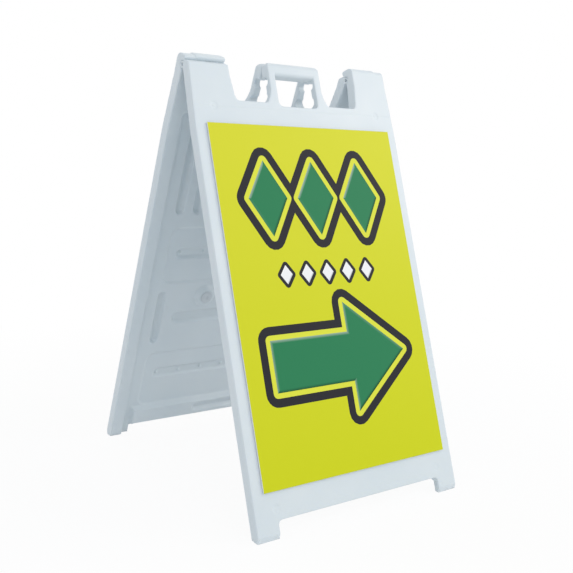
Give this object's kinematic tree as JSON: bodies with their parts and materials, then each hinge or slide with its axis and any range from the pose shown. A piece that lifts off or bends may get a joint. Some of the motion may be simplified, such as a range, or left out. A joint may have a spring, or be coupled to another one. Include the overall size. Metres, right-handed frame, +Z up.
{
  "type": "a-frame sidewalk sign",
  "caption": "Folding two-sided pavement sign: hollow moulded plastic panels hooked together at the top, with a carrying handle, ballast fillers and a printed sheet on each face.",
  "frame": {"origin": "on the ground under the middle of the hinge line, midway between the four feet", "axes": "+Z up; X along the hinge line; the front panel faces -Y and the rear panel faces +Y"},
  "size_m": [0.675, 0.844, 1.1463],
  "materials": {
    "panel_plastic": "blow-moulded polyethylene, satin, fine moulded grain",
    "printed_sheet": "printed corrugated polypropylene, satin",
    "fastening_tape": "woven hook-and-loop tape",
    "plug_plastic": "injection-moulded polyethylene, satin"
  },
  "bodies": {
    "rear_leaf": {"rear_panel": "panel_plastic", "rear_sheet": "printed_sheet", "rear_loop_pads": "fastening_tape", "rear_hook_pads": "fastening_tape"},
    "front_leaf": {"front_panel": "panel_plastic", "front_sheet": "printed_sheet", "front_loop_pads": "fastening_tape", "front_hook_pads": "fastening_tape"},
    "rear_plug": {"rear_fill_plug": "plug_plastic"},
    "front_plug": {"front_fill_plug": "plug_plastic"}
  },
  "joints": [
    {"name": "fold", "type": "hinge", "parent": "rear_leaf", "child": "front_leaf", "pos_m": [0, 0, 1.11404], "axis": [1, 0, 0], "range_deg": [0, 39]},
    {"name": "rear_plug_pull", "type": "slide", "parent": "rear_leaf", "child": "rear_plug", "axis": [0, -0.9426, -0.3338], "range_m": [0, 0.011]},
    {"name": "front_plug_pull", "type": "slide", "parent": "front_leaf", "child": "front_plug", "axis": [0, 0.9426, -0.3338], "range_m": [0, 0.011]}
  ]
}
